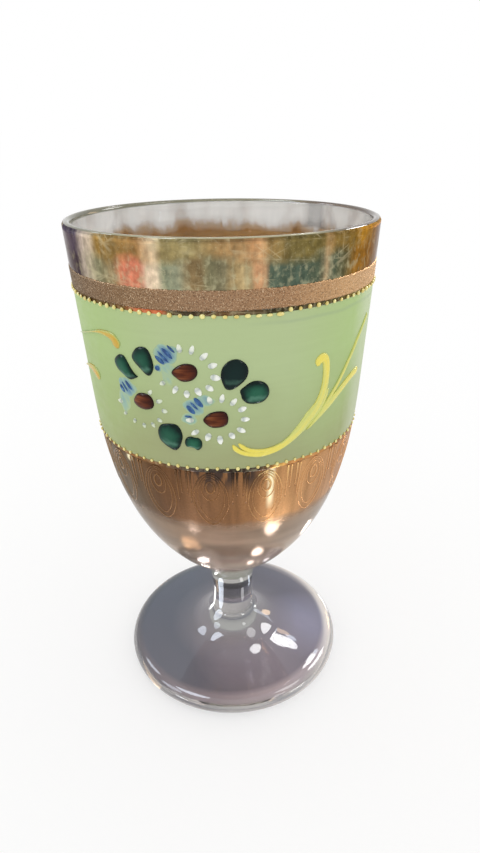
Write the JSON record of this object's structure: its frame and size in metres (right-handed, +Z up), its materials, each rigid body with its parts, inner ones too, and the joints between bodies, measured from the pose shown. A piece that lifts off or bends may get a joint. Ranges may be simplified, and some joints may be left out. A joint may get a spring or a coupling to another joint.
{
  "type": "goblet",
  "caption": "Footed drinking goblet of clear glass with a gilded rim, a satin green enamel band painted with raised flowers, and a gilded lower bowl.",
  "frame": {"origin": "centre of the foot's underside, on the goblet's axis, in the plane that it stands on", "axes": "+Z up the axis towards the rim; -Y is the painted front with the flower spray, +X to its right"},
  "size_m": [0.0744, 0.0744, 0.134],
  "materials": {
    "clear_glass": "clear soda glass with a faint smoky mauve tint, fire polished",
    "bright_gold": "bright fired gilding, mirror polished and worn with fine scratches",
    "stippled_gold": "gilding over a stippled ground, granular and matt",
    "copper_gold": "coppery gilding over a matt etched border with polished relief lines",
    "green_enamel": "satin opaque pale green enamel",
    "bead_enamel": "glossy pale yellow enamel beads",
    "yellow_enamel": "glossy yellow enamel brush strokes",
    "leaf_green_enamel": "glossy deep bottle green raised enamel",
    "brown_enamel": "glossy red brown raised enamel",
    "white_enamel": "glossy translucent white raised enamel, washed with blue in places"
  },
  "bodies": {
    "root": {"foot": "clear_glass", "stem": "clear_glass", "bowl": "clear_glass", "rim_gilding": "bright_gold", "stippled_gilt_band": "stippled_gold", "upper_gilt_line": "bright_gold", "green_enamel_band": "green_enamel", "lower_gilt_line": "bright_gold", "lower_gilt_band": "copper_gold", "upper_bead_row": "bead_enamel", "lower_bead_row": "bead_enamel", "front_leaf_1": "leaf_green_enamel", "front_leaf_2": "leaf_green_enamel", "front_leaf_3": "leaf_green_enamel", "front_leaf_4": "leaf_green_enamel", "front_leaf_5": "leaf_green_enamel", "front_leaf_6": "leaf_green_enamel", "front_flower_eye_1": "brown_enamel", "front_flower_eye_2": "brown_enamel", "front_flower_eye_3": "brown_enamel", "front_petal_ring_1": "white_enamel", "front_petal_ring_2": "white_enamel", "front_petal_ring_3": "white_enamel", "front_scroll_stem": "yellow_enamel", "front_scroll_branch": "yellow_enamel", "front_scroll_tendril": "yellow_enamel", "front_upper_flourish": "yellow_enamel", "front_lower_flourish": "yellow_enamel", "back_leaf_1": "leaf_green_enamel", "back_leaf_2": "leaf_green_enamel", "back_leaf_3": "leaf_green_enamel", "back_leaf_4": "leaf_green_enamel", "back_leaf_5": "leaf_green_enamel", "back_leaf_6": "leaf_green_enamel", "back_flower_eye_1": "brown_enamel", "back_flower_eye_2": "brown_enamel", "back_flower_eye_3": "brown_enamel", "back_petal_ring_1": "white_enamel", "back_petal_ring_2": "white_enamel", "back_petal_ring_3": "white_enamel", "back_scroll_stem": "yellow_enamel", "back_scroll_branch": "yellow_enamel", "back_scroll_tendril": "yellow_enamel", "back_upper_flourish": "yellow_enamel", "back_lower_flourish": "yellow_enamel"}
  },
  "joints": []
}
